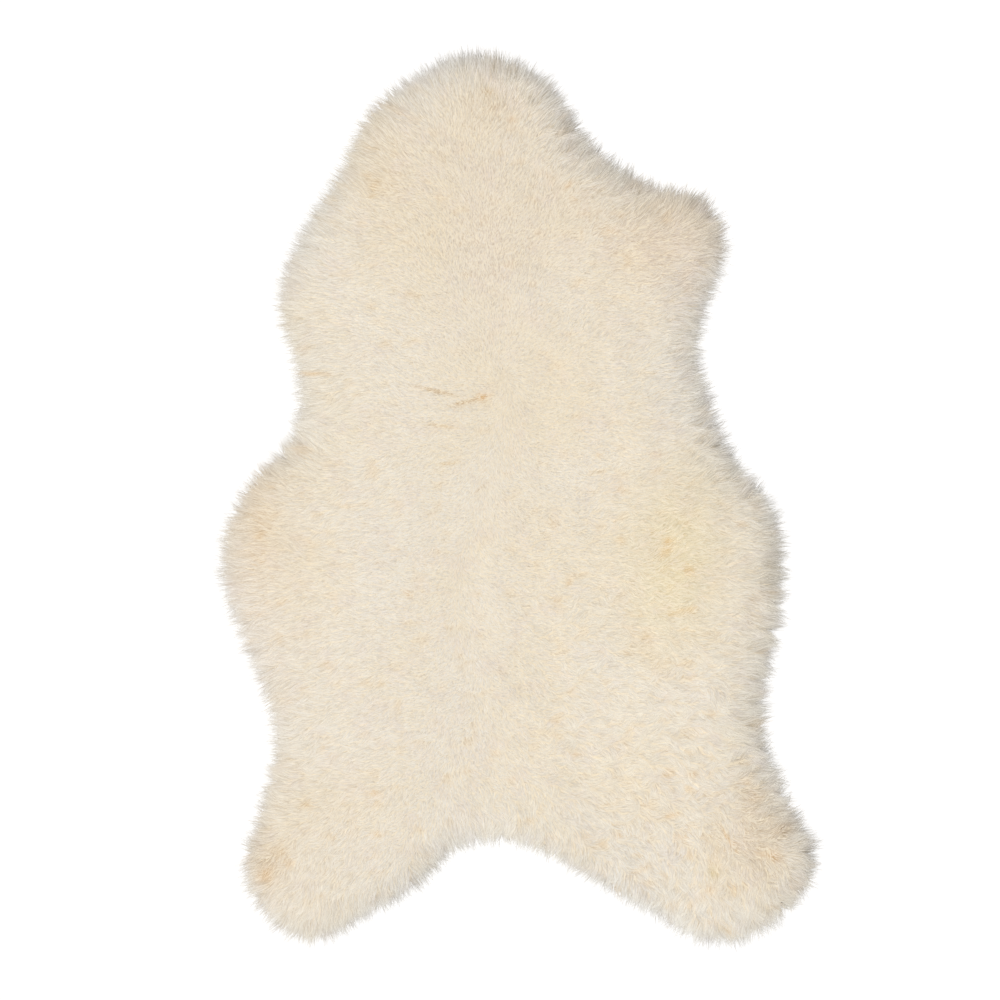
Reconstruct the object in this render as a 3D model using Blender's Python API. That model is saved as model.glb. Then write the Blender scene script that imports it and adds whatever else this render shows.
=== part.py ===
# A sheepskin rug: one tanned pelt with its wool on, lying flat with the wool up.
# The solid is the room that hide and wool fill together: the pelt's cut outline with two hind
# legs, one foreleg and the neck, a flat flesh side, a lip of wool that hangs over the cut edge,
# and a pile that swells and dips a little over the back.
# +Y runs from tail to neck, +X to the right, +Z up; the origin is under the middle of the
# bounding box, on the surface that the rug lies on.

import math

import bmesh
import bpy
import numpy as np
from mathutils import Vector
from mathutils.geometry import delaunay_2d_cdt

MM = 0.001

# Driving sizes, in millimetres
RUG_LENGTH = 1000.0  # neck to the tip of the longer hind leg
PILE_CROWN = 38.0  # the wool's height over the back, hide included
LIP_HEIGHT = 8.0  # height at which the wool reaches furthest out
LIP_TUCK = 18.0  # how far the hide's edge lies inside the wool's
ROLL_WIDTH = 46.0  # the band where the wool rolls over from the back to the edge
ROLL_FULLNESS = 2.3  # exponent of the roll's section: 2 is an ellipse, more is squarer

# Fineness of the surfaces, in millimetres
OUTLINE_STEPS = 5  # straight runs between two landmarks
TOP_SPACING = 20.0
UNDERSIDE_SPACING = 60.0
TOP_RINGS = (4.0, 10.0, 19.0, 31.0, 46.0)  # insets that give the roll its round section
UNDERSIDE_RINGS = (6.0, 12.0, 18.0)

# The cut outline, anticlockwise from the neck, in millimetres from about the pelt's middle
OUTLINE = (
    # landmark, across, along
    ("neck crown", -57, 499),
    ("neck left brow", -121, 471),
    ("neck left corner", -173, 425),
    ("neck left root", -198, 372),
    ("left shoulder", -246, 294),
    ("left foreleg stub", -270, 218),
    ("left forewaist", -247, 120),
    ("left waist end", -257, 67),
    ("left flank start", -292, 33),
    ("left flank", -334, -66),
    ("left flank end", -301, -182),
    ("left hind waist", -275, -256),
    ("left hock", -290, -338),
    ("left foot outside", -310, -409),
    ("left foot corner", -282, -468),
    ("left foot toe", -229, -496),
    ("left foot inside", -163, -469),
    ("left thigh inside", -92, -425),
    ("crutch left", -72, -400),
    ("crutch", -38, -387),
    ("crutch right", 8, -393),
    ("right thigh inside", 63, -423),
    ("right foot inside", 148, -468),
    ("right foot toe", 216, -500),
    ("right foot corner", 308, -459),
    ("right foot outside", 337, -398),
    ("right hock", 303, -326),
    ("right hind waist", 278, -252),
    ("right flank end", 286, -180),
    ("right flank", 298, -112),
    ("right flank top", 288, -8),
    ("right flank start", 240, 56),
    ("right forewaist", 216, 118),
    ("armpit", 206, 174),
    ("foreleg inside", 222, 228),
    ("foreleg outside", 236, 287),
    ("foreleg toe", 204, 341),
    ("foreleg root", 155, 352),
    ("neck right root", 84, 399),
    ("neck right corner", 54, 446),
    ("neck right brow", 24, 477),
)

# Broad swells and hollows of the pile, in millimetres
SWELLS = (
    # place, across, along, reach, rise
    ("withers", -40, 230, 150, 2.0),
    ("back", -10, -60, 170, 1.5),
    ("rump", -20, -250, 130, 2.0),
    ("neck hollow", -10, 430, 60, -2.5),
    ("foreleg fold", 190, 300, 60, -3.0),
    ("armpit dip", 170, 150, 70, -3.0),
    ("right flank dip", 235, 20, 80, -3.5),
    ("right flank swell", 200, -110, 90, 2.0),
    ("right hock fold", 248, -325, 45, -5.0),
    ("right foot swell", 235, -420, 55, 2.0),
    ("left flank swell", -240, -70, 90, 1.5),
    ("left waist dip", -215, 110, 70, -2.5),
    ("left hock dip", -240, -300, 70, -2.5),
    ("left foot swell", -235, -420, 60, 1.0),
    ("crutch dip", -40, -345, 60, -3.0),
)


def clear_scene():
    for obj in list(bpy.data.objects):
        bpy.data.objects.remove(obj)


def outline_points():
    """The smooth closed outline through the landmarks, scaled to length and centred, in millimetres."""
    data = bpy.data.curves.new("outline_guide", "CURVE")
    data.resolution_u = OUTLINE_STEPS
    spline = data.splines.new("BEZIER")
    spline.bezier_points.add(len(OUTLINE) - 1)
    for knot, (_, across, along) in zip(spline.bezier_points, OUTLINE):
        knot.co = (across, along, 0)
        knot.handle_left_type = "AUTO"
        knot.handle_right_type = "AUTO"
    spline.use_cyclic_u = True
    guide = bpy.data.objects.new("outline_guide", data)
    mesh = guide.to_mesh()
    points = np.array([vertex.co[:2] for vertex in mesh.vertices])
    guide.to_mesh_clear()
    bpy.data.objects.remove(guide)
    low = points.min(axis=0)
    high = points.max(axis=0)
    return (points - (low + high) / 2) * RUG_LENGTH / (high[1] - low[1])


def edge_distance(points, outline):
    """Each point's distance to the outline, negative outside it."""
    start = outline
    run = np.roll(outline, -1, axis=0) - start
    offset = points[:, None, :] - start[None, :, :]
    share = np.clip((offset * run).sum(axis=2) / (run**2).sum(axis=1), 0, 1)
    nearest = np.linalg.norm(offset - share[:, :, None] * run, axis=2).min(axis=1)
    above = (start[:, 1] > points[:, 1:]) != (np.roll(start[:, 1], -1) > points[:, 1:])
    slope = run[:, 0] / np.where(run[:, 1] == 0, 1e-9, run[:, 1])
    crossing = start[:, 0] + (points[:, 1:] - start[:, 1]) * slope
    inside = (above & (points[:, :1] < crossing)).sum(axis=1) % 2 == 1
    return np.where(inside, nearest, -nearest)


def inset_ring(outline, inset):
    """The outline moved inwards, without the points that crowd together in a tight bend."""
    along = np.roll(outline, -1, axis=0) - np.roll(outline, 1, axis=0)
    inward = np.stack([-along[:, 1], along[:, 0]], axis=1)
    inward /= np.linalg.norm(inward, axis=1)[:, None]
    ring = outline + inward * inset
    return ring[edge_distance(ring, outline) > 0.97 * inset]


def lattice(outline, spacing, margin):
    """Staggered rows of points over the pelt, all at least the margin from its edge."""
    low = outline.min(axis=0)
    high = outline.max(axis=0)
    row_gap = spacing * math.sqrt(3) / 2
    points = []
    for row in range(math.ceil((high[1] - low[1]) / row_gap)):
        start = low[0] + (row % 2) * spacing / 2
        for column in range(math.ceil((high[0] - low[0]) / spacing)):
            points.append((start + column * spacing, low[1] + (row + 0.5) * row_gap))
    points = np.array(points)
    return points[edge_distance(points, outline) > margin]


def triangulate(outline, insets, spacing):
    """Points and triangles that fill the outline; the outline's own points come first."""
    groups = [outline] + [inset_ring(outline, inset) for inset in insets]
    groups.append(lattice(outline, spacing, insets[-1] + spacing / 2))
    points = [Vector(point) for point in np.concatenate(groups)]
    count = len(outline)
    found, _, triangles, _, _, _ = delaunay_2d_cdt(points, [], [range(count)], 1, 1e-6)
    return np.array([tuple(point) for point in found]), triangles


def pile_height(points, outline):
    """Height of the wool's surface, in millimetres."""
    distance = np.clip(edge_distance(points, outline), 0, None)
    depth = 1 - np.clip(distance / ROLL_WIDTH, 0, 1)
    roll = (1 - depth**ROLL_FULLNESS) ** (1 / ROLL_FULLNESS)
    swell = np.zeros(len(points))
    for _, across, along, reach, rise in SWELLS:
        squared = (points[:, 0] - across) ** 2 + (points[:, 1] - along) ** 2
        swell += rise * np.exp(-squared / (2 * (reach / 2) ** 2))
    return LIP_HEIGHT + roll * (PILE_CROWN - LIP_HEIGHT + swell)


def underside_height(points, outline):
    """Height of the underside: flat under the hide, rising to the lip past its edge."""
    distance = np.clip(edge_distance(points, outline), 0, None)
    return LIP_HEIGHT * np.clip(1 - distance / LIP_TUCK, 0, 1) ** 2


def add_surface(mesh, rim, points, heights, triangles, facing_up):
    """Adds one face of the pelt to the mesh, on the rim's shared vertices."""
    vertices = list(rim)
    for point, height in list(zip(points, heights))[len(rim) :]:
        vertices.append(mesh.verts.new((*(point * MM), height * MM)))
    for triangle in triangles:
        corners = [vertices[index] for index in triangle]
        mesh.faces.new(corners if facing_up else corners[::-1])


def wool_material():
    material = bpy.data.materials.new("ivory_wool")
    material.use_nodes = True
    shader = material.node_tree.nodes["Principled BSDF"]
    shader.inputs["Base Color"].default_value = (0.84, 0.76, 0.62, 1)
    shader.inputs["Roughness"].default_value = 0.95
    shader.inputs["Metallic"].default_value = 0.0
    return material


def sheepskin():
    """The pelt with its wool, as one closed solid."""
    outline = outline_points()
    top, top_triangles = triangulate(outline, TOP_RINGS, TOP_SPACING)
    under, under_triangles = triangulate(outline, UNDERSIDE_RINGS, UNDERSIDE_SPACING)
    mesh = bmesh.new()
    rim = [mesh.verts.new((*(point * MM), LIP_HEIGHT * MM)) for point in outline]
    add_surface(mesh, rim, top, pile_height(top, outline), top_triangles, True)
    add_surface(mesh, rim, under, underside_height(under, outline), under_triangles, False)
    bmesh.ops.recalc_face_normals(mesh, faces=mesh.faces)
    data = bpy.data.meshes.new("sheepskin")
    mesh.to_mesh(data)
    mesh.free()
    data.shade_smooth()
    data.set_sharp_from_angle(angle=math.radians(50))
    data.materials.append(wool_material())
    rug = bpy.data.objects.new("sheepskin", data)
    bpy.context.scene.collection.objects.link(rug)
    return rug


clear_scene()
sheepskin()
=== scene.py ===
# A sheepskin laid flat with its wool up: the tanned hide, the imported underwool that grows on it,
# and the combed locks over everything. Sizes are in metres, and the shape comes from the frame.

import math

import bmesh
import bpy
import numpy as np
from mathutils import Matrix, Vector, noise
from mathutils.kdtree import KDTree


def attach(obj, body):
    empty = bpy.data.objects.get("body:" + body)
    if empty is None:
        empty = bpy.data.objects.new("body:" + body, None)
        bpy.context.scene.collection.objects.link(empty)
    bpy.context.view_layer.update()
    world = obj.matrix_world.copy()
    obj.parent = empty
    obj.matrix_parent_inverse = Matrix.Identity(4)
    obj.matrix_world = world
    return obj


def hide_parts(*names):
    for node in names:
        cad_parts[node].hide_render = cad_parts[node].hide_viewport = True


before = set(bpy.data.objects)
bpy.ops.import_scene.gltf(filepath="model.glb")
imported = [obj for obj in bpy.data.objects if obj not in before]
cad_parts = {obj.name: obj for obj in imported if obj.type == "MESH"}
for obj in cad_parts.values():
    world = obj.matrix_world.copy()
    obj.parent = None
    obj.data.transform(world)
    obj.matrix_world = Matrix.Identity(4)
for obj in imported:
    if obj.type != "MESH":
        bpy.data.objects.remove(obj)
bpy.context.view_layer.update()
scene = bpy.context.scene
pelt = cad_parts["sheepskin"]


class Wire:  # a node's output that Python can calculate with
    def __init__(self, socket):
        self.socket = socket

    def out(self, name):  # another output of the same node
        outputs = self.socket.node.outputs
        return Wire(next(found for found in outputs if found.enabled and found.name == name))

    def maths(self, operation, *terms):
        vectors = [isinstance(term, Wire) and term.socket.type == "VECTOR" for term in terms]
        kind = "ShaderNodeVectorMath" if any(vectors) else "ShaderNodeMath"
        return addNode(self.socket.id_data, kind, {"operation": operation}, terms)

    def __add__(self, other):
        return self.maths("ADD", self, other)

    def __sub__(self, other):
        return self.maths("SUBTRACT", self, other)

    def __rsub__(self, other):
        return self.maths("SUBTRACT", other, self)

    def __mul__(self, other):
        return self.maths("MULTIPLY", self, other)

    def __pow__(self, other):
        return self.maths("POWER", self, other)

    __radd__ = __add__
    __rmul__ = __mul__


def addNode(tree, kind, settings=None, inputs=()):
    node = tree.nodes.new(kind)
    for name, value in (settings or {}).items():
        setattr(node, name, value)
    sockets = [socket for socket in node.inputs if socket.enabled]
    if isinstance(inputs, dict):
        names = {name: socket for socket in sockets[::-1] for name in (socket.name, socket.identifier)}
        pairs = [(names[name], value) for name, value in inputs.items()]
    else:
        pairs = zip(sockets, inputs)
    for socket, value in pairs:
        if isinstance(value, Wire):
            tree.links.new(value.socket, socket)
        elif socket.type == "VECTOR" and isinstance(value, (int, float)):
            socket.default_value = (value, value, value)
        else:
            socket.default_value = value
    return Wire(next(socket for socket in node.outputs if socket.enabled))


def blendColour(tree, share, first, second, how="MIX"):
    settings = {"data_type": "RGBA", "blend_type": how}
    return addNode(tree, "ShaderNodeMix", settings,
                   {"Factor_Float": share, "A_Color": first, "B_Color": second})


def namedValue(tree, name, kind="FLOAT"):
    return addNode(tree, "GeometryNodeInputNamedAttribute", {"data_type": kind}, {"Name": name})


def storeValue(tree, geometry, name, value, kind="FLOAT"):
    return addNode(tree, "GeometryNodeStoreNamedAttribute", {"data_type": kind, "domain": "POINT"},
                   {"Geometry": geometry, "Name": name, "Value": value})


def addObject(name, data):
    item = bpy.data.objects.new(name, data)
    scene.collection.objects.link(item)
    return item


studio = {
    "cameraHeight": 3.4,
    "sensorWidth": 36,  # millimetres
    "viewWidth": 1.112,  # what the picture spans at the wool's height
    "viewCentre": (-0.0217, -0.0017, 0.012),
    "floorHalf": 6.0,
    "floorBelow": 0.0004,  # under the hide
    "floorTone": (0.30, 0.30, 0.30, 1),
    "floorRoughness": 0.9,
    "floorShine": 0.1,
    "floorGlow": 0.76,  # most of the floor's white is its own, so that the shadow on it stays faint
    "worldTone": (0.95, 0.93, 1.0, 1),
    "worldStrength": 0.29,
    "sunFrom": (-0.25, -0.17, 0.95),
    "sunSpread": 50,  # degrees
    "sunStrength": 2.39,
    "sunTone": (1.0, 0.98, 0.94),
}


def setCamera():
    lens = bpy.data.cameras.new("camera")
    lens.sensor_width = studio["sensorWidth"]
    lens.lens = lens.sensor_width * studio["cameraHeight"] / studio["viewWidth"]
    camera = addObject("camera", lens)
    camera.location = Vector(studio["viewCentre"]) + Vector((0, 0, studio["cameraHeight"]))
    scene.camera = camera


def setLights():
    lamp = bpy.data.lights.new("sun", "SUN")
    lamp.angle = math.radians(studio["sunSpread"])
    lamp.energy = studio["sunStrength"]
    lamp.color = studio["sunTone"]
    sun = addObject("sun", lamp)
    sun.rotation_euler = Vector(studio["sunFrom"]).to_track_quat("Z", "Y").to_euler()
    world = bpy.data.worlds.new("studio")
    world.use_nodes = True
    background = world.node_tree.nodes["Background"]
    background.inputs["Color"].default_value = studio["worldTone"]
    background.inputs["Strength"].default_value = studio["worldStrength"]
    scene.world = world
    scene.view_settings.view_transform = "Standard"


def setFloor():
    half, level = studio["floorHalf"], -studio["floorBelow"]
    corners = [(-half, -half, level), (half, -half, level), (half, half, level), (-half, half, level)]
    mesh = bpy.data.meshes.new("floor")
    mesh.from_pydata(corners, [], [(0, 1, 2, 3)])
    paint = bpy.data.materials.new("floorPaint")
    paint.use_nodes = True
    shader = paint.node_tree.nodes["Principled BSDF"]
    shader.inputs["Base Color"].default_value = studio["floorTone"]
    shader.inputs["Roughness"].default_value = studio["floorRoughness"]
    shader.inputs["Specular IOR Level"].default_value = studio["floorShine"]
    shader.inputs["Emission Color"].default_value = (1, 1, 1, 1)
    shader.inputs["Emission Strength"].default_value = studio["floorGlow"]
    mesh.materials.append(paint)
    addObject("floor", mesh)


setCamera()
setLights()
setFloor()
print("studio set")


tracing = {
    "mergeWithin": 1e-5,
    "lipLeast": 0.004,  # the outline lies higher than this
    "spacing": 0.003,  # between two of its points
}
tiny = 1e-6  # keeps a length of nothing from being divided by


def peltMesh():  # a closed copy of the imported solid
    mesh = bmesh.new()
    mesh.from_mesh(pelt.data)
    bmesh.ops.remove_doubles(mesh, verts=mesh.verts, dist=tracing["mergeWithin"])
    bmesh.ops.recalc_face_normals(mesh, faces=mesh.faces)
    return mesh


def outlinePoints(mesh):  # points along the line where top and underside meet
    points = []
    for edge in mesh.edges:
        over, under = edge.link_faces
        if over.normal.z * under.normal.z < 0 and edge.verts[0].co.z > tracing["lipLeast"]:
            start, end = (vertex.co.xy for vertex in edge.verts)
            steps = max(1, math.ceil((end - start).length / tracing["spacing"]))
            points += [start.lerp(end, step / steps) for step in range(steps)]
    return points


def measureInset(places, outline):  # for each place: distance to the outline, and the way out
    tree = KDTree(len(outline))
    for index, point in enumerate(outline):
        tree.insert((*point, 0), index)
    tree.balance()
    nearest = np.array([tree.find((x, y, 0))[0][:2] for x, y in places[:, :2]])
    way = nearest - places[:, :2]
    inset = np.linalg.norm(way, axis=1)
    return inset, way / np.maximum(inset, tiny)[:, None]


def values(items, name, width=3):
    found = np.empty(len(items) * width, np.float32)
    items.foreach_get(name, found)
    return found.reshape(-1, width).astype(float) if width > 1 else found.astype(float)


def setValues(mesh, name, kind, numbers):
    attribute = mesh.attributes.new(name, kind, "POINT")
    field = {"FLOAT": "value", "FLOAT_VECTOR": "vector", "FLOAT_COLOR": "color"}[kind]
    attribute.data.foreach_set(field, np.asarray(numbers, np.float32).ravel())


def applied(item, name):  # a plain mesh object of the item with its modifiers
    graph = bpy.context.evaluated_depsgraph_get()
    mesh = bpy.data.meshes.new_from_object(item.evaluated_get(graph))
    mesh.name = name
    return addObject(name, mesh)


def drop(item):
    mesh = item.data
    bpy.data.objects.remove(item)
    bpy.data.meshes.remove(mesh)


solid = peltMesh()
outline = outlinePoints(solid)
print("outline read,", len(outline), "points")


hide = {
    "thickness": 0.002,
    "flatness": 0.0001,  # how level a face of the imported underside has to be
    "sharpAngle": 40,  # degrees
}


def makeHide():
    mesh = solid.copy()
    raised = [face for face in mesh.faces
              if any(vertex.co.z > hide["flatness"] for vertex in face.verts)]
    bmesh.ops.delete(mesh, geom=raised, context="FACES")
    area = sum(face.calc_area() for face in mesh.faces)
    places = np.array([vertex.co for vertex in mesh.verts])
    size = np.ptp(places, axis=0)[:2]
    bmesh.ops.reverse_faces(mesh, faces=mesh.faces)  # now they face up, to be pulled up
    made = bmesh.ops.extrude_face_region(mesh, geom=mesh.faces[:])
    top = [item for item in made["geom"] if isinstance(item, bmesh.types.BMVert)]
    bmesh.ops.translate(mesh, verts=top, vec=(0, 0, hide["thickness"]))
    bmesh.ops.recalc_face_normals(mesh, faces=mesh.faces)
    data = bpy.data.meshes.new("hide")
    mesh.to_mesh(data)
    mesh.free()
    data.shade_smooth()
    data.set_sharp_from_angle(angle=math.radians(hide["sharpAngle"]))
    return addObject("hide", data), [float(side) for side in size], area


hidePiece, hideSize, hideArea = makeHide()
print("hide cut,", [round(side, 3) for side in hideSize], "area", round(hideArea, 4))


# How the wool is combed. Lean is the way the tips point, and how far; loose is how much locks part.
combing = {
    "swirl": 0.6,  # radians that the lean wanders from the table's
    "swirlSize": 0.055,
    "swirlSeed": 3,
    "leastLean": 0.45,
    "edgeBand": 0.040,  # within it the wool points straight out over the edge
}
comb = (
    # place, across, along, reach, lean across, lean along, loose
    ("neck crown", -0.05, 0.46, 0.09, 0.10, 0.90, 0.15),
    ("neck left", -0.15, 0.41, 0.10, -0.80, 0.40, 0.15),
    ("neck right", 0.03, 0.42, 0.08, 0.60, 0.60, 0.25),
    ("neck middle", -0.05, 0.33, 0.08, -0.10, 0.45, 0.15),
    ("left shoulder", -0.20, 0.27, 0.13, -0.90, 0.10, 0.15),
    ("withers", -0.02, 0.24, 0.10, 0.10, 0.40, 0.15),
    ("right shoulder", 0.11, 0.26, 0.12, 0.75, 0.25, 0.20),
    ("foreleg", 0.20, 0.30, 0.06, 0.80, 0.50, 0.30),
    ("left ribs", -0.17, 0.08, 0.14, -0.95, 0.00, 0.25),
    ("mid back", 0.00, 0.06, 0.10, 0.05, -0.40, 0.25),
    ("right ribs", 0.14, 0.08, 0.13, 0.70, 0.30, 0.30),
    ("left flank", -0.22, -0.10, 0.14, -1.00, -0.12, 0.30),
    ("loin", 0.00, -0.12, 0.12, 0.70, -0.10, 0.30),
    ("right flank", 0.20, -0.08, 0.14, 0.90, 0.12, 0.40),
    ("left rump", -0.15, -0.27, 0.13, -0.90, -0.15, 0.35),
    ("tail", -0.03, -0.33, 0.08, 0.60, -0.30, 0.50),
    ("right rump", 0.12, -0.27, 0.13, 0.95, -0.12, 0.80),
    ("left foot", -0.23, -0.42, 0.08, -0.40, -0.85, 0.40),
    ("right hock", 0.28, -0.32, 0.06, 0.90, 0.35, 0.70),
    ("right foot", 0.21, -0.43, 0.08, 0.10, -0.90, 0.75),
)


layerGap = 7.3  # how far apart in the noise two seeds read it


def drift(places, size, seed):  # smooth noise over the pelt, about -1 to 1
    layer = Vector((0, 0, seed * layerGap))
    return np.array([noise.noise(Vector(place) / size + layer) for place in places])


def combed(places, inset, wayOut):
    lean = np.zeros((len(places), 2))
    loose = np.zeros(len(places))
    total = np.full(len(places), tiny)
    for _, across, along, reach, leanAcross, leanAlong, looseness in comb:
        squared = (places[:, 0] - across) ** 2 + (places[:, 1] - along) ** 2
        weight = np.exp(-squared / reach**2)
        lean += weight[:, None] * (leanAcross, leanAlong)
        loose += weight * looseness
        total += weight
    lean /= total[:, None]
    turn = drift(places, combing["swirlSize"], combing["swirlSeed"]) * combing["swirl"]
    cosine, sine = np.cos(turn), np.sin(turn)
    lean = np.column_stack([lean[:, 0] * cosine - lean[:, 1] * sine,
                            lean[:, 0] * sine + lean[:, 1] * cosine])
    length = np.linalg.norm(lean, axis=1)
    lean *= (np.maximum(length, combing["leastLean"]) / np.maximum(length, tiny))[:, None]
    edge = np.exp(-((inset / combing["edgeBand"]) ** 2))
    lean = lean * (1 - edge[:, None]) + wayOut * edge[:, None]
    return np.column_stack([lean, np.zeros(len(places))]), loose / total, edge


bed = {  # the surface that the locks grow from
    "grain": 0.0045,  # mesh spacing
    "smoothing": 14,
    "smoothShare": 0.5,
    "topDepth": 0.0050,  # below the tips, over the back
    "sideDepth": 0.0150,  # behind the outline, round the edge
    "rollWidth": 0.060,  # it draws in less and less up to this far from the outline
    "rimSkin": 0.004,  # this near the outline, the surface itself shows the way out
    "floorGap": 0.0023,  # it starts just over the hide
    "flatBelow": -0.85,  # where its normal points down more than this, it is laid flat
    "swell": 0.0016,
    "swellSize": 0.050,
    "swellSeed": 1,
    "tuft": 0.0016,
    "tuftSize": 0.011,
    "tuftSeed": 2,
    "tuftStretch": (0.45, 1.0, 1.0),  # hollows run across the back
    "tuftLeast": 0.3,  # share of a hollow's depth where nothing is loose
    "tuftLoose": 1.4,  # what full looseness adds to that share
    "hollowGain": 2,  # the noise times this is how hollow a place counts as
    "pileUpright": 1.6,  # growth on a side that stands upright, where 1 is all of it
    "pileFacing": 2.5,  # what is added as it turns up, and lost as it turns down
    "fringeWidth": 0.060,  # within it more and more locks belong to the fringe
    "fringeShadeSide": (0.80, 0.60),  # the way that most of the fringe faces, away from the sun, where its strands get the most painted shade
    "fringeLeast": 0.12,  # the fringe's share of the locks on the far side
    "fringeMost": 0.60,
}


def makeBed():
    shape = bpy.data.meshes.new("bedShape")
    solid.to_mesh(shape)
    form = addObject("bedForm", shape)
    remesh = form.modifiers.new("remesh", "REMESH")
    remesh.mode = "VOXEL"
    remesh.voxel_size = bed["grain"]
    smooth = form.modifiers.new("smooth", "SMOOTH")
    smooth.factor = bed["smoothShare"]
    smooth.iterations = bed["smoothing"]
    item = applied(form, "woolBed")
    drop(form)
    mesh = item.data
    places = values(mesh.vertices, "co")
    normals = values(mesh.vertices, "normal")
    inset, wayOut = measureInset(places, outline)
    rim = inset < bed["rimSkin"]
    sideways = normals[rim, :2]
    wayOut[rim] = sideways / np.maximum(np.linalg.norm(sideways, axis=1), tiny)[:, None]
    _, loose, _ = combed(places, inset, wayOut)
    drawnIn = bed["sideDepth"] * np.clip(1 - inset / bed["rollWidth"], 0, 1)
    depth = bed["topDepth"] * normals[:, 2]
    depth -= bed["swell"] * drift(places, bed["swellSize"], bed["swellSeed"])
    hollow = drift(places * bed["tuftStretch"], bed["tuftSize"], bed["tuftSeed"])
    depth += bed["tuft"] * hollow * (bed["tuftLeast"] + loose * bed["tuftLoose"])
    places[:, :2] -= wayOut * drawnIn[:, None]
    places[:, 2] -= depth * np.clip(normals[:, 2], 0, 1)
    places[normals[:, 2] < bed["flatBelow"], 2] = bed["floorGap"]
    places[:, 2] = np.maximum(places[:, 2], bed["floorGap"])
    mesh.vertices.foreach_set("co", places.astype(np.float32).ravel())
    mesh.update()
    mesh.shade_smooth()
    inset, wayOut = measureInset(places, outline)
    lean, loose, edge = combed(places, inset, wayOut)
    setValues(mesh, "lean", "FLOAT_VECTOR", lean)
    setValues(mesh, "loose", "FLOAT", loose)
    setValues(mesh, "edge", "FLOAT", edge)
    setValues(mesh, "inset", "FLOAT", inset)
    # The fringe is widest on the side away from the sun, where its strands get painted shade
    facing = np.clip(wayOut @ bed["fringeShadeSide"], 0, 1)
    share = bed["fringeLeast"] + (bed["fringeMost"] - bed["fringeLeast"]) * facing
    setValues(mesh, "fringe", "FLOAT", share * np.clip(1 - inset / bed["fringeWidth"], 0, 1))
    setValues(mesh, "hollow", "FLOAT", np.clip(hollow * bed["hollowGain"], 0, 1))
    pile = normals[:, 2] * bed["pileFacing"] + bed["pileUpright"]
    setValues(mesh, "pile", "FLOAT", np.clip(pile, 0, 1))
    return item


woolBed = makeBed()
print("wool bed laid,", len(woolBed.data.vertices), "points")


underwool = {  # seen where locks part
    "share": 0.30,  # of the bed's faces that it keeps
}


def makeUnderwool():
    form = addObject("underwoolForm", woolBed.data.copy())
    thin = form.modifiers.new("thin", "DECIMATE")
    thin.ratio = underwool["share"]
    item = applied(form, "underwool")
    drop(form)
    for name in ("lean", "loose", "edge", "inset", "fringe", "hollow", "pile"):
        item.data.attributes.remove(item.data.attributes[name])
    item.data.shade_smooth()
    return item


underwoolPiece = makeUnderwool()
print("underwool packed,", len(underwoolPiece.data.polygons), "faces")


locks = {
    "Length": 0.0100,
    "Edge length": 0.0210,  # added where the edge band begins
    "Rise": 0.0052,
    "Width": 0.00095,  # of the widest strand at its root
    "Density": 620000.0,  # strands to the square metre
    "Tuft gap": 0.0085,
    "Clump": 0.30,
    "Tuck": 0.0110,  # how far inside the outline the edge begins to thin out
    "Fade": 0.0100,  # over each such step outwards about a third of the strands are left
    "Spare": 0.11,  # the share that would reach past the longest wisp
    "Droop": 0.0040,
    "Roll over": 0.36,  # how much the edge's shading turns outwards
    "Tip light": 1.3,  # how much the light from above gets through the edge's tips
    "Sheen": 0.35,  # how much a strand's own turn shows in its shading
}
strandForm = {  # how strands differ from the sizes above, and from each other
    "edgeCalm": 0.7,  # share of a tuft's looseness that the edge takes away
    "tuftTurn": 0.9,  # radians that the loosest tuft turns from the lean
    "ownTurn": 0.45,  # radians that single strands spread over
    "curl": 1.6,  # radians of bend from root to tip, which a tuft's draw and looseness scale
    "curlLeast": 0.4,  # of that, where nothing is loose
    "curlStart": 0.4,  # where along itself a bending strand keeps its heading
    "lengthLeast": 0.9,  # share of the length where nothing is loose
    "lengthLoose": 0.6,  # what full looseness adds
    "reachLeast": 0.6,  # share of the length for the shortest strands
    "reachSpread": 0.6,
    "shortest": 0.004,
    "riseLeast": 0.75,  # share of the rise for the lowest strands
    "riseSpread": 0.5,
    "riseTuft": 0.35,  # how much whole tufts differ in height where they are loose
    "riseUpright": 0.3,  # share of the rise on the upright sides
    "riseFacing": 0.7,
    "outStart": 0.4,  # how fast it goes outwards at its root, where 1 is its average
    "rootDepth": 0.001,  # how far it starts inside the bed
    "clumpLeast": 0.3,  # how much strands draw together where nothing is loose
    "clumpEdge": 0.2,  # what the edge takes off it
    "rollSpread": 0.9,  # radians that flat strands turn about their own length
    "girthLeast": 0.4,  # share of the width for the thinnest strands
    "girthSpread": 0.6,
    "taper": 0.6,  # share of the width lost near the tip
    "halfWidth": 0.5,  # of the width, to either side
    "halfWidthEdge": 0.23,  # what the edge takes off it
    "floorClear": 0.0006,  # no strand dips lower than this
    "rollOverPower": 0.6,  # less spreads the edge's rolled shading further in
    "shadeRoll": 2,  # how a strand's own turn, and its two sides, tilt its shading
    "shadeSide": 0.6,
}
strandSeed = 7
drawSeeds = {"tuftTurn": 11, "tuftLift": 12, "tuft": 13, "strand": 20, "kind": 31}
mostTufts = 1e5  # to the square metre, more than the gap between them lets in
strandSteps = (0.0, 0.5)  # where a strand has a crosswise edge; its tip is at 1
strandPoints = 2 * len(strandSteps) + 1

# One piece of wool for each stretch of the back and of the fringe, from the tail's end up.
stretches = (
    # piece, from, to, fringe
    ("woolLegs", -0.60, -0.285, 0),
    ("woolRump", -0.285, -0.130, 0),
    ("woolBack", -0.130, 0.025, 0),
    ("woolRibs", 0.025, 0.225, 0),
    ("woolNeck", 0.225, 0.60, 0),
    ("fringeBehind", -0.60, -0.140, 1),
    ("fringeAhead", -0.140, 0.60, 1),
)


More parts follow.
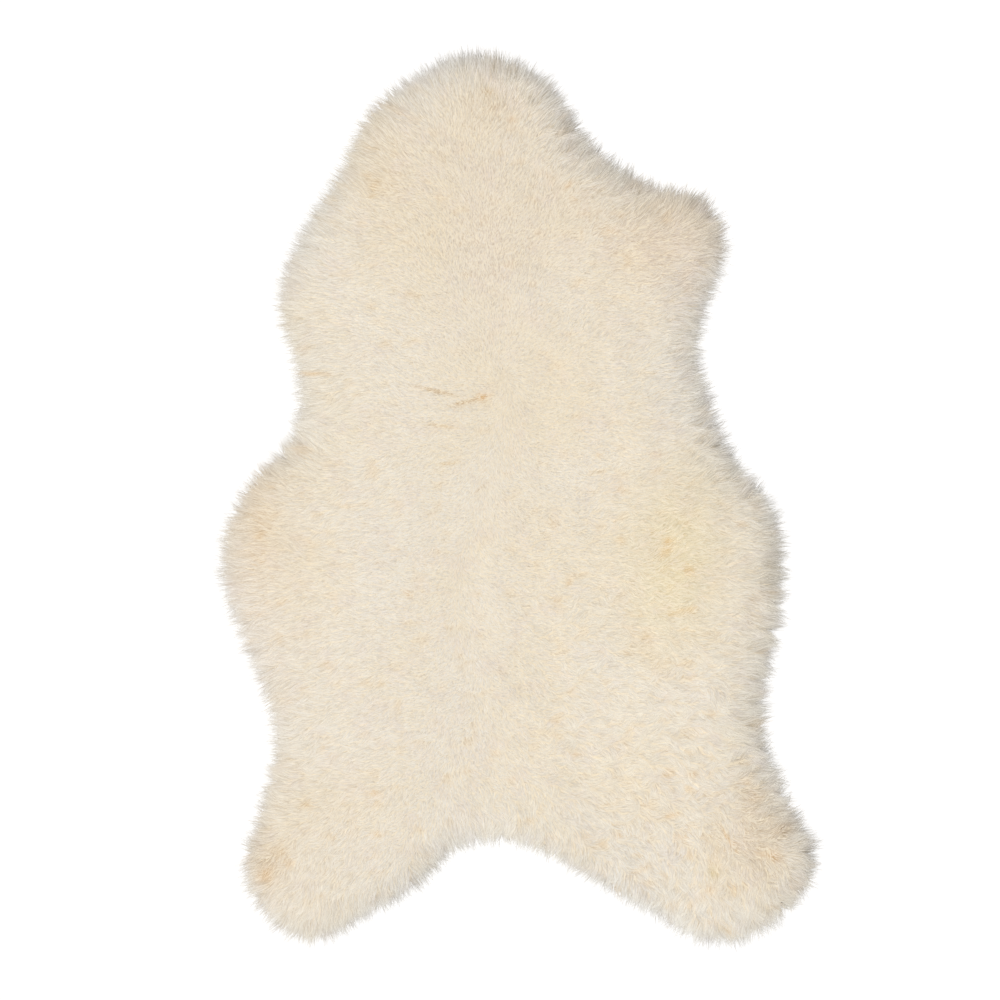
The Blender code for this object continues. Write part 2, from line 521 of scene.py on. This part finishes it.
def strandMesh():  # a flat strand one metre long and two wide, to be shaped on the bed
    mesh = bpy.data.meshes.new("strand")
    corners = [(side, along, 0) for along in strandSteps for side in (-1, 1)] + [(0, 1, 0)]
    last = len(corners) - 1
    faces = [(k, k + 1, k + 3, k + 2) for k in range(0, last - 2, 2)] + [(last - 2, last - 1, last)]
    mesh.from_pydata(corners, [], faces)
    setValues(mesh, "side", "FLOAT", [corner[0] for corner in corners])
    setValues(mesh, "along", "FLOAT", [corner[1] for corner in corners])
    return mesh


def randomValue(tree, low, high, seed, key=None):
    inputs = {"Min_001": low, "Max_001": high, "Seed": seed}
    if key is not None:
        inputs["ID"] = key
    return addNode(tree, "FunctionNodeRandomValue", {"data_type": "FLOAT"}, inputs)


def vector(tree, x, y, z):
    return addNode(tree, "ShaderNodeCombineXYZ", None, (x, y, z))


def unit(wire):
    return wire.maths("NORMALIZE", wire)


def cross(first, second):
    return first.maths("CROSS_PRODUCT", first, second)


def part(wire, axis):
    return addNode(wire.socket.id_data, "ShaderNodeSeparateXYZ", None, (wire,)).out(axis)


def makeLocksTree():
    tree = bpy.data.node_groups.new("locks", "GeometryNodeTree")
    face = tree.interface
    face.new_socket("Bed", in_out="INPUT", socket_type="NodeSocketGeometry")
    for name, value in locks.items():
        face.new_socket(name, in_out="INPUT", socket_type="NodeSocketFloat").default_value = value
    for name in ("From", "To", "Fringe"):
        face.new_socket(name, in_out="INPUT", socket_type="NodeSocketFloat")
    face.new_socket("Seed", in_out="INPUT", socket_type="NodeSocketInt").default_value = strandSeed
    face.new_socket("Strand", in_out="INPUT", socket_type="NodeSocketObject")
    face.new_socket("Wool", in_out="INPUT", socket_type="NodeSocketMaterial")
    face.new_socket("Locks", in_out="OUTPUT", socket_type="NodeSocketGeometry")
    given = addNode(tree, "NodeGroupInput")
    points = scatterRoots(tree, given)
    strand = addNode(tree, "GeometryNodeObjectInfo", None, {"Object": given.out("Strand")})
    strands = addNode(tree, "GeometryNodeInstanceOnPoints", None,
                      {"Points": points, "Instance": strand.out("Geometry")})
    strands = addNode(tree, "GeometryNodeRealizeInstances", None, {"Geometry": strands})
    place, shading = shapeStrands(tree, given)
    strands = addNode(tree, "GeometryNodeSetPosition", None, {"Geometry": strands, "Position": place})
    strands = addNode(tree, "GeometryNodeSetShadeSmooth", None, {"Geometry": strands})
    strands = addNode(tree, "GeometryNodeSetMeshNormal", {"mode": "FREE", "domain": "POINT"},
                      {"Mesh": strands, "Custom Normal": shading})
    strands = addNode(tree, "GeometryNodeSetMaterial", None,
                      {"Geometry": strands, "Material": given.out("Wool")})
    tree.links.new(strands.socket, tree.nodes.new("NodeGroupOutput").inputs[0])
    return tree


def scatterRoots(tree, given):
    seed = given.out("Seed")
    place = addNode(tree, "GeometryNodeInputPosition")
    # Tufts: coarse points that share a lean
    tufts = addNode(tree, "GeometryNodeDistributePointsOnFaces", {"distribute_method": "POISSON"}, {
        "Mesh": given.out("Bed"), "Distance Min": given.out("Tuft gap"), "Density Max": mostTufts,
        "Density Factor": namedValue(tree, "pile"), "Seed": seed})
    # Roots: one to a strand
    roots = addNode(tree, "GeometryNodeDistributePointsOnFaces", {"distribute_method": "RANDOM"}, {
        "Mesh": given.out("Bed"), "Density": given.out("Density") * namedValue(tree, "pile"),
        "Seed": seed + 1})
    normal = roots.out("Normal")
    points = storeValue(tree, roots, "normal", normal, "FLOAT_VECTOR")
    points = storeValue(tree, points, "root", place, "FLOAT_VECTOR")
    nearest = addNode(tree, "GeometryNodeSampleNearest", {"domain": "POINT"},
                      {"Geometry": tufts, "Sample Position": place})
    tuftPlace = addNode(tree, "GeometryNodeSampleIndex", {"data_type": "FLOAT_VECTOR", "domain": "POINT"},
                        {"Geometry": tufts, "Value": place, "Index": nearest})
    points = storeValue(tree, points, "pull", tuftPlace - place, "FLOAT_VECTOR")
    for name, low in (("tuftTurn", -1.0), ("tuftLift", -1.0), ("tuft", 0.0)):
        draw = randomValue(tree, low, 1.0, drawSeeds[name], nearest)
        points = storeValue(tree, points, name, draw)
    for number, name in enumerate(("chance", "turn", "lift", "roll", "reach", "girth")):
        draw = randomValue(tree, 0.0, 1.0, drawSeeds["strand"] + number)
        points = storeValue(tree, points, name, draw)
    # This piece's own stretch
    along = part(place, "Y")
    before = along.maths("LESS_THAN", along, given.out("From"))
    after = 1 - along.maths("LESS_THAN", along, given.out("To"))
    kind = randomValue(tree, 0.0, 1.0, drawSeeds["kind"])
    other = kind.maths("LESS_THAN", kind, namedValue(tree, "fringe")) - given.out("Fringe")
    return addNode(tree, "GeometryNodeDeleteGeometry", {"domain": "POINT"},
                   {"Geometry": points, "Selection": before + after + other.maths("ABSOLUTE", other)})


def shapeStrands(tree, given):  # each strand's curve, worked out at its own points
    t = namedValue(tree, "along")
    side = namedValue(tree, "side")
    root = namedValue(tree, "root", "FLOAT_VECTOR")
    grow = unit(namedValue(tree, "normal", "FLOAT_VECTOR"))
    lean = namedValue(tree, "lean", "FLOAT_VECTOR")
    loose = namedValue(tree, "loose")
    edge = namedValue(tree, "edge")
    slope = part(grow, "Z")
    form = strandForm
    apart = loose * (1 - edge * form["edgeCalm"])
    turn = namedValue(tree, "tuftTurn") * apart * form["tuftTurn"]
    turn = turn + (namedValue(tree, "turn") - 0.5) * form["ownTurn"]
    bend = (namedValue(tree, "tuft") - 0.5) * (loose + form["curlLeast"])
    turn = turn + bend * (t - form["curlStart"]) * form["curl"]
    leanX, leanY = part(lean, "X"), part(lean, "Y")
    cosine, sine = turn.maths("COSINE", turn), turn.maths("SINE", turn)
    way = vector(tree, leanX * cosine - leanY * sine, leanX * sine + leanY * cosine, 0.0)
    length = given.out("Length") * (loose * form["lengthLoose"] + form["lengthLeast"])
    length = length + given.out("Edge length") * edge
    length = length * (namedValue(tree, "reach") * form["reachSpread"] + form["reachLeast"])
    left = given.out("Spare") + 1 - namedValue(tree, "reach")
    wisp = left.maths("LOGARITHM", left, math.e) * given.out("Fade") + given.out("Tuck")
    toEdge = namedValue(tree, "inset") - wisp
    reach = length.maths("MINIMUM", length, toEdge)
    reach = reach.maths("MAXIMUM", reach, form["shortest"])
    tuftLift = namedValue(tree, "tuftLift") * loose * form["riseTuft"]
    lift = namedValue(tree, "lift") * form["riseSpread"] + form["riseLeast"] + tuftLift
    facingUp = slope.maths("MAXIMUM", slope, 0.0) * form["riseFacing"] + form["riseUpright"]
    rise = given.out("Rise") * lift * facingUp
    up = t * 2 - t * t
    out = t * form["outStart"] + t * t * (1 - form["outStart"])
    droop = given.out("Droop") * edge * t * t
    spine = root + grow * (rise * up - form["rootDepth"]) + way * (reach * out)
    spine = spine - vector(tree, 0.0, 0.0, droop)
    clump = given.out("Clump") * (apart + form["clumpLeast"] - edge * form["clumpEdge"])
    spine = spine + namedValue(tree, "pull", "FLOAT_VECTOR") * (clump * t)
    # The slopes of up and out give the heading; the small terms keep it from coming to nothing
    climb = rise * (2 - t * 2) + 0.0005
    heading = unit(grow * climb + way * (reach * (t * (2 - 2 * form["outStart"]) + form["outStart"])))
    across = unit(cross(heading, grow) + vector(tree, 0.0, 0.00001, 0.0))
    roll = (namedValue(tree, "roll") - 0.5) * form["rollSpread"]
    facing = unit(cross(across, heading))
    flat = across * roll.maths("COSINE", roll) + facing * roll.maths("SINE", roll)
    width = given.out("Width") * (namedValue(tree, "girth") * form["girthSpread"] + form["girthLeast"])
    width = width * (1 - t * t * form["taper"])
    width = width * (form["halfWidth"] - edge * form["halfWidthEdge"])
    shape = spine + flat * (side * width)
    height = part(shape, "Z")
    height = height.maths("MAXIMUM", height, form["floorClear"])
    shape = vector(tree, part(shape, "X"), part(shape, "Y"), height)
    over = lean * (edge ** form["rollOverPower"] * given.out("Roll over"))
    glow = vector(tree, 0.0, 0.0, edge * t * given.out("Tip light"))
    sheen = (roll * form["shadeRoll"] + side * form["shadeSide"]) * given.out("Sheen")
    return shape, unit(grow + over + glow + across * sheen)


# Colours that the wool takes in places, as what they multiply its own by. Some are painted: shade round
# the edge, on its right side and in partings, and light at the edge's tips and the crutch.
tones = {
    "tan": (0.97, 0.86, 0.70),
    "orange": (1.00, 0.82, 0.60),
    "yellow": (1.00, 0.96, 0.74),
    "brown": (0.84, 0.72, 0.58),
    # painted shade, for two places on the right edge
    "paintedShade": (0.72, 0.71, 0.70),
    "pink": (0.97, 0.88, 0.84),
    "cast": (0.94, 0.90, 0.86),
    # painted light, for the crutch
    "pale": (1.05, 1.05, 1.06),
    "rim": (0.87, 0.89, 0.915),  # the whole edge: painted shade of the rolled edge, and less yellow than the back
    "tip": (1.13, 1.16, 1.22),  # painted light on the far ends of the wool at the edge
}
marks = (
    # place, across, along, half length, half width, turn in degrees, tone, strength
    ("neck crown stain", -0.033, 0.432, 0.050, 0.030, 0, "tan", 0.30),
    ("neck left stain", -0.151, 0.349, 0.022, 0.015, 0, "tan", 0.35),
    ("neck middle blush", -0.033, 0.276, 0.050, 0.035, 90, "pink", 0.30),
    ("neck cast", -0.020, 0.340, 0.150, 0.110, 90, "cast", 0.80),
    ("neck left cast", -0.165, 0.385, 0.085, 0.050, 90, "tan", 0.42),
    ("left side cast", -0.285, 0.040, 0.400, 0.085, 92, "tan", 0.24),
    ("left rim cast", -0.305, 0.000, 0.420, 0.045, 92, "pink", 0.35),
    # Painted light at the crutch, which lifts the edge's painted shade there
    ("crutch painted light", -0.040, -0.365, 0.080, 0.030, 0, "pale", 1.00),
    ("left foot cast", -0.240, -0.420, 0.090, 0.070, 0, "tan", 0.16),
    ("foreleg cast", 0.185, 0.300, 0.090, 0.080, 40, "cast", 1.10),
    ("right flank cast", 0.200, -0.050, 0.170, 0.100, 90, "cast", 0.35),
    ("right foot cast", 0.240, -0.400, 0.080, 0.070, 0, "cast", 0.30),
    ("withers right stain", 0.078, 0.321, 0.045, 0.025, -45, "tan", 0.30),
    ("foreleg blush", 0.162, 0.282, 0.050, 0.050, 0, "pink", 0.40),
    ("right flank butter", 0.173, -0.068, 0.085, 0.055, 80, "yellow", 0.68),
    ("right flank streak", 0.145, -0.174, 0.035, 0.012, -45, "tan", 0.35),
    ("loin stain", 0.006, -0.018, 0.035, 0.015, 0, "tan", 0.20),
    ("left flank stain", -0.286, -0.030, 0.060, 0.020, 90, "tan", 0.30),
    ("left foot rust", -0.277, -0.408, 0.028, 0.020, 90, "brown", 0.60),
    ("left hock stain", -0.194, -0.335, 0.050, 0.040, 0, "tan", 0.20),
    ("right foot rust", 0.272, -0.378, 0.050, 0.034, 75, "brown", 0.50),
    ("right hock rust", 0.251, -0.335, 0.035, 0.015, 90, "brown", 0.45),
    ("right foot streak", 0.217, -0.391, 0.050, 0.010, 90, "tan", 0.40),
    ("right rump stain", 0.134, -0.335, 0.060, 0.040, 0, "tan", 0.15),
    # The creases below: the tan of the roots where the locks part, and painted shade in the parting
    ("left rib crease", -0.090, 0.118, 0.020, 0.0022, -13, "brown", 1.60),
    ("left rib crease end", -0.055, 0.108, 0.017, 0.0022, 15, "brown", 1.50),
    ("left rib knot", -0.042, 0.112, 0.006, 0.0045, 0, "orange", 1.20),
    ("low rib crease", -0.086, 0.080, 0.014, 0.0020, -8, "tan", 1.60),
    ("blush crease", -0.077, 0.039, 0.011, 0.0022, 9, "tan", 1.40),
    ("small crease", -0.043, 0.012, 0.008, 0.0017, 39, "brown", 1.00),
    ("left waist streak", -0.228, 0.138, 0.018, 0.0020, -4, "orange", 1.10),
    ("back seed stain", 0.037, -0.028, 0.005, 0.0050, 0, "tan", 0.90),
    ("back orange fleck", 0.087, 0.048, 0.004, 0.0030, 0, "orange", 0.80),
    ("left loin fleck", -0.124, -0.105, 0.006, 0.0040, -30, "orange", 0.70),
    ("right back fleck", 0.112, -0.046, 0.005, 0.0050, 0, "tan", 0.60),
    ("loin fleck", 0.055, -0.092, 0.006, 0.0035, 60, "orange", 0.80),
    ("crown fleck", -0.034, 0.449, 0.010, 0.0050, 0, "tan", 0.70),
    ("crown fleck low", -0.029, 0.433, 0.008, 0.0040, 20, "brown", 0.50),
    ("nape fleck", -0.008, 0.419, 0.006, 0.0040, 0, "orange", 0.60),
    ("nape right fleck", 0.054, 0.346, 0.006, 0.0040, 40, "orange", 0.60),
    ("nape right fleck low", 0.059, 0.331, 0.005, 0.0030, -40, "orange", 0.50),
    ("shoulder fleck", 0.098, 0.295, 0.010, 0.0060, 0, "orange", 0.40),
    ("rib blush fleck", 0.151, 0.048, 0.008, 0.0050, 0, "pink", 0.70),
    ("flank fleck", 0.161, -0.059, 0.010, 0.0050, 45, "tan", 0.60),
    ("flank fleck high", 0.163, -0.046, 0.006, 0.0040, 0, "orange", 0.60),
    ("flank fleck low", 0.188, -0.080, 0.008, 0.0050, -45, "orange", 0.50),
    # Painted shade on the right edge, which faces away from the sun
    ("right edge painted shade", 0.281, -0.077, 0.018, 0.0090, 90, "paintedShade", 1.00),
    ("right waist painted shade", 0.235, 0.044, 0.018, 0.0080, -45, "paintedShade", 0.50),
    ("left foot fleck", -0.282, -0.418, 0.008, 0.0060, 0, "orange", 0.70),
    ("left foot fleck high", -0.263, -0.391, 0.008, 0.0060, 30, "tan", 0.80),
    ("left hock fleck", -0.235, -0.339, 0.008, 0.0040, 0, "tan", 0.80),
    ("left thigh fleck", -0.161, -0.325, 0.007, 0.0040, 0, "orange", 0.70),
    ("left thigh fleck low", -0.158, -0.371, 0.006, 0.0040, 0, "orange", 0.60),
    ("tail fleck", -0.027, -0.281, 0.006, 0.0040, 0, "orange", 0.60),
    ("tail fleck low", -0.009, -0.311, 0.006, 0.0040, 30, "orange", 0.60),
    ("tail fleck left", -0.058, -0.301, 0.006, 0.0040, -30, "orange", 0.50),
    ("hock fleck", 0.260, -0.329, 0.010, 0.0060, 90, "brown", 0.60),
    ("foot fleck", 0.291, -0.366, 0.012, 0.0070, 0, "brown", 0.60),
    ("foot fleck low", 0.280, -0.395, 0.010, 0.0070, -30, "orange", 0.70),
    ("foot orange line", 0.230, -0.375, 0.012, 0.0020, -60, "orange", 0.90),
    ("foot yellow fleck", 0.214, -0.413, 0.006, 0.0060, 0, "yellow", 0.80),
    ("foot orange fleck", 0.210, -0.433, 0.007, 0.0050, 0, "orange", 0.70),
    ("thigh fleck", 0.168, -0.350, 0.009, 0.0040, 20, "orange", 0.80),
    ("thigh fleck low", 0.178, -0.374, 0.008, 0.0040, 0, "orange", 0.70),
    ("inner thigh fleck", 0.108, -0.372, 0.007, 0.0040, 0, "orange", 0.60),
    ("thigh streak", 0.134, -0.410, 0.014, 0.0035, 25, "orange", 0.70),
    ("toe fleck", 0.168, -0.450, 0.007, 0.0040, 0, "orange", 0.60),
    ("rump fleck", 0.063, -0.282, 0.007, 0.0035, 0, "orange", 0.60),
    ("crutch fleck", 0.073, -0.374, 0.008, 0.0040, 0, "tan", 0.60),
    ("rump right fleck", 0.192, -0.304, 0.008, 0.0040, 20, "orange", 0.60),
    ("toe smudge", 0.309, -0.428, 0.012, 0.0080, 60, "brown", 0.40),
    ("toe inner fleck", 0.200, -0.443, 0.006, 0.0040, 0, "tan", 0.60),
)


tinting = {
    "rimShadePower": 0.6,  # less spreads the rim's painted shade further in
    "fringeStrands": 0.9,  # how much single strands differ in the fringe, as painted light and shade between them
    "fringeTuftShade": 0.5,
    "fringeShade": 0.07,
    "edgeStrands": 0.2,  # how much they differ at the whole edge
}


def tinted(mesh):
    places = values(mesh.vertices, "co")
    chance, tuft, edge, fringe, t = (values(mesh.attributes[name].data, "value", 1)
                                     for name in ("chance", "tuft", "edge", "fringe", "along"))
    # Painted shade round the whole edge, strongest at the outline
    tint = 1 - edge[:, None] ** tinting["rimShadePower"] * (1 - np.array(tones["rim"]))
    # Painted light on the far ends of the edge's strands
    tint *= 1 - (edge * t**2)[:, None] * (1 - np.array(tones["tip"]))
    # In the fringe, strands and tufts get painted light and shade and are darkened as a whole as painted
    # shade; over the whole edge strands also differ at random
    streak = tinting["fringeStrands"] * (0.5 - chance) + tinting["fringeTuftShade"] * (0.5 - tuft)
    streak = fringe * (streak - tinting["fringeShade"]) + edge * (0.5 - chance) * tinting["edgeStrands"]
    tint *= 1 + streak[:, None]
    for _, across, along, halfLength, halfWidth, turn, tone, strength in marks:
        angle = math.radians(turn)
        dx, dy = places[:, 0] - across, places[:, 1] - along
        u = (dx * math.cos(angle) + dy * math.sin(angle)) / halfLength
        v = (dy * math.cos(angle) - dx * math.sin(angle)) / halfWidth
        share = np.clip(strength * (0.5 + chance) * np.exp(-(u**2 + v**2)), 0, 1)
        tint *= 1 - share[:, None] * (1 - np.array(tones[tone]))
    return np.column_stack([tint, np.ones(len(places))])


wool = {
    "ivory": (0.79, 0.765, 0.705, 1),
    "butter": (0.79, 0.745, 0.645, 1),
    "blush": (0.76, 0.705, 0.66, 1),
    "straw": (0.76, 0.61, 0.415, 1),
    # the root: the wool's own yellower colour there, and painted shade deep in the pile
    "root": (0.74, 0.645, 0.51, 1),
    "packed": (0.93, 0.88, 0.80, 1),  # what the underwool's colour is multiplied by
    "through": (0.68, 0.66, 0.61, 1),  # the light that a strand lets through to its back
    "roughness": (0.75, 0.95),
    "butterScale": 9.0,
    "butterNoise": (0.35, 0.65),  # the noise that runs from none of it to all of it
    "blushScale": 45.0,
    "blushNoise": (0.50, 0.75),
    "blushMost": 0.6,
    "fibreScale": 900.0,
    "fibreDetail": 3.0,
    "fibreNoise": (0.3, 0.7),
    "warmTufts": 0.2,  # straw begins in tufts whose draw is above this
    "warmLeast": 0.4,
    "warmLoose": 0.6,
    "warmStrands": 0.75,
    "warmHollows": 0.2,
    "warmAnywhere": 0.60,
    "warmAnywhereMost": 0.30,
    "rootEnds": 0.6,  # how far along a strand its root's colour and painted shade reach
    "lightest": 1.07,
    "chanceDark": 0.23,  # what the darkest strands lose
    "strandBump": 0.15,
    "packedBump": 0.6,
    "bumpHeight": 0.0004,
    "shine": 0.25,
    "sheen": 0.15,
    "sheenRoughness": 0.5,
}


def spread(value, low, high, toLow=0.0, toHigh=1.0):
    return addNode(value.socket.id_data, "ShaderNodeMapRange", None, {
        "Value": value, "From Min": low, "From Max": high, "To Min": toLow, "To Max": toHigh})


def noiseAt(place, scale, detail=2.0):
    return addNode(place.socket.id_data, "ShaderNodeTexNoise", None,
                   {"Vector": place, "Scale": scale, "Detail": detail})


def strandValue(tree, name, output="Fac"):
    return addNode(tree, "ShaderNodeAttribute", {"attribute_name": name}).out(output)


def woolMaterial(name, strands):
    material = bpy.data.materials.new(name)
    material.use_nodes = True
    tree = material.node_tree
    shader = tree.nodes["Principled BSDF"]
    place = addNode(tree, "ShaderNodeTexCoord").out("Object")
    butter = spread(noiseAt(place, wool["butterScale"]), *wool["butterNoise"])
    colour = blendColour(tree, butter, wool["ivory"], wool["butter"])
    blush = spread(noiseAt(place, wool["blushScale"]), *wool["blushNoise"], 0.0, wool["blushMost"])
    colour = blendColour(tree, blush, colour, wool["blush"])
    if strands:
        t, chance, hollow, tuft, loose = (
            strandValue(tree, name) for name in ("along", "chance", "hollow", "tuft", "loose"))
        warm = spread(tuft, wool["warmTufts"], 1.0) * (loose * wool["warmLoose"] + wool["warmLeast"])
        warm = warm + spread(chance, wool["warmStrands"], 1.0) * loose
        warm = spread(hollow, wool["warmHollows"], 1.0) * warm
        warm = warm + spread(chance, wool["warmAnywhere"], 1.0) * wool["warmAnywhereMost"]
        colour = blendColour(tree, warm, colour, wool["straw"])
        # Roots darker and warmer: the wool's yellower roots, and painted shade deep in the pile
        colour = blendColour(tree, spread(t, 0.0, wool["rootEnds"], 1.0, 0.0), colour, wool["root"])
        tone = wool["lightest"] - chance * wool["chanceDark"]
        colour = blendColour(tree, 1.0, colour, vector(tree, tone, tone, tone), "MULTIPLY")
        colour = blendColour(tree, 1.0, colour, strandValue(tree, "tint", "Color"), "MULTIPLY")
    else:
        colour = blendColour(tree, 1.0, colour, wool["packed"], "MULTIPLY")
    tree.links.new(colour.socket, shader.inputs["Base Color"])
    fibre = noiseAt(place, wool["fibreScale"], wool["fibreDetail"])
    rough = spread(fibre, *wool["fibreNoise"], *wool["roughness"])
    tree.links.new(rough.socket, shader.inputs["Roughness"])
    strength = wool["strandBump"] if strands else wool["packedBump"]
    bump = addNode(tree, "ShaderNodeBump", None, {
        "Strength": strength, "Distance": wool["bumpHeight"], "Height": fibre})
    tree.links.new(bump.socket, shader.inputs["Normal"])
    if strands:  # light gets through a strand, so both its faces are lit alike
        behind = addNode(tree, "ShaderNodeNewGeometry").out("Backfacing")
        through = addNode(tree, "ShaderNodeBsdfTranslucent", None, {"Color": wool["through"]})
        both = addNode(tree, "ShaderNodeMixShader", None, {
            "Fac": behind, "Shader": Wire(shader.outputs["BSDF"]), "Shader_001": through})
        tree.links.new(both.socket, tree.nodes["Material Output"].inputs["Surface"])
    shader.inputs["Specular IOR Level"].default_value = wool["shine"]
    shader.inputs["Sheen Weight"].default_value = wool["sheen"]
    shader.inputs["Sheen Roughness"].default_value = wool["sheenRoughness"]
    return material


def growLocks(name, low, high, fringe, tree, strand, material):
    item = addObject(name + "Form", woolBed.data.copy())
    modifier = item.modifiers.new("locks", "NODES")
    modifier.node_group = tree
    sockets = {socket.name: socket.identifier for socket in tree.interface.items_tree}
    modifier[sockets["From"]] = low
    modifier[sockets["To"]] = high
    modifier[sockets["Fringe"]] = float(fringe)
    modifier[sockets["Strand"]] = strand
    modifier[sockets["Wool"]] = material
    piece = applied(item, name)
    drop(item)
    mesh = piece.data
    setValues(mesh, "tint", "FLOAT_COLOR", tinted(mesh))
    layStrandsFlat(mesh)
    keep = ("along", "chance", "tuft", "hollow", "loose", "tint", "custom_normal", "position", "OFBake",
            "material_index", "sharp_face", "sharp_edge")
    extra = [found.name for found in mesh.attributes
             if not found.is_internal and not found.is_required and found.name not in keep]
    for found in extra:
        mesh.attributes.remove(mesh.attributes[found])
    piece.visible_shadow = False  # fibres let the light through to each other
    return piece


strandCell = {  # a strand's place in its cell of the UV map, in shares of the cell
    "middle": 0.5,
    "halfWidth": 0.32,
    "foot": 0.15,
    "length": 0.7,
}


def layStrandsFlat(mesh):  # each strand gets its own cell of the UV map
    index = np.empty(len(mesh.loops), np.int32)
    mesh.loops.foreach_get("vertex_index", index)
    t = values(mesh.attributes["along"].data, "value", 1)[index]
    side = values(mesh.attributes["side"].data, "value", 1)[index]
    number = index // strandPoints
    cells = math.ceil(math.sqrt(len(mesh.vertices) / strandPoints))
    layer = mesh.uv_layers.new(name="OFBake")
    across = number % cells + strandCell["middle"] + side * strandCell["halfWidth"]
    along = number // cells + strandCell["foot"] + t * strandCell["length"]
    uv = np.column_stack([across, along]) / cells
    layer.uv.foreach_set("vector", uv.astype(np.float32).ravel())


def makeWool():
    tree = makeLocksTree()
    strand = addObject("strand", strandMesh())
    material = woolMaterial("combedWool", True)
    underwoolPiece.data.materials.clear()
    underwoolPiece.data.materials.append(woolMaterial("packedWool", False))
    pieces = []
    for name, low, high, fringe in stretches:
        pieces.append(growLocks(name, low, high, fringe, tree, strand, material))
        print(name, "grown,", len(pieces[-1].data.vertices) // strandPoints, "strands")
    drop(strand)
    return pieces


lockPieces = makeWool()
drop(woolBed)


suede = {
    "pale": (0.82, 0.73, 0.60, 1),
    "deep": (0.72, 0.60, 0.46, 1),
    "roughness": (0.80, 0.95),
    "nap": 0.0003,  # height of the raised fibres
    "napScale": 700.0,
    "napDetail": 3.0,
    "napNoise": (0.35, 0.70),
    "napDeep": 0.3,  # how much of the deep colour the nap brings
    "cloudScale": 7.0,
    "cloudDetail": 4.0,
    "cloudNoise": (0.35, 0.65),
    "roughNoise": (0.3, 0.7),
    "bump": 0.5,
    "cloudBump": 2,
    "shine": 0.2,
}


def suedeMaterial():
    material = bpy.data.materials.new("suedeHide")
    material.use_nodes = True
    tree = material.node_tree
    shader = tree.nodes["Principled BSDF"]
    place = addNode(tree, "ShaderNodeTexCoord").out("Object")
    cloud = noiseAt(place, suede["cloudScale"], suede["cloudDetail"])
    nap = noiseAt(place, suede["napScale"], suede["napDetail"])
    colour = blendColour(tree, spread(cloud, *suede["cloudNoise"]), suede["pale"], suede["deep"])
    deep = spread(nap, *suede["napNoise"], 0.0, suede["napDeep"])
    colour = blendColour(tree, deep, colour, suede["deep"])
    tree.links.new(colour.socket, shader.inputs["Base Color"])
    rough = spread(nap, *suede["roughNoise"], *suede["roughness"])
    tree.links.new(rough.socket, shader.inputs["Roughness"])
    bump = addNode(tree, "ShaderNodeBump", None, {
        "Strength": suede["bump"], "Distance": suede["nap"],
        "Height": nap + cloud * suede["cloudBump"]})
    tree.links.new(bump.socket, shader.inputs["Normal"])
    shader.inputs["Specular IOR Level"].default_value = suede["shine"]
    return material


hidePiece.data.materials.append(suedeMaterial())
for piece in [hidePiece, underwoolPiece, *lockPieces]:
    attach(piece, "root")
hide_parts("sheepskin")
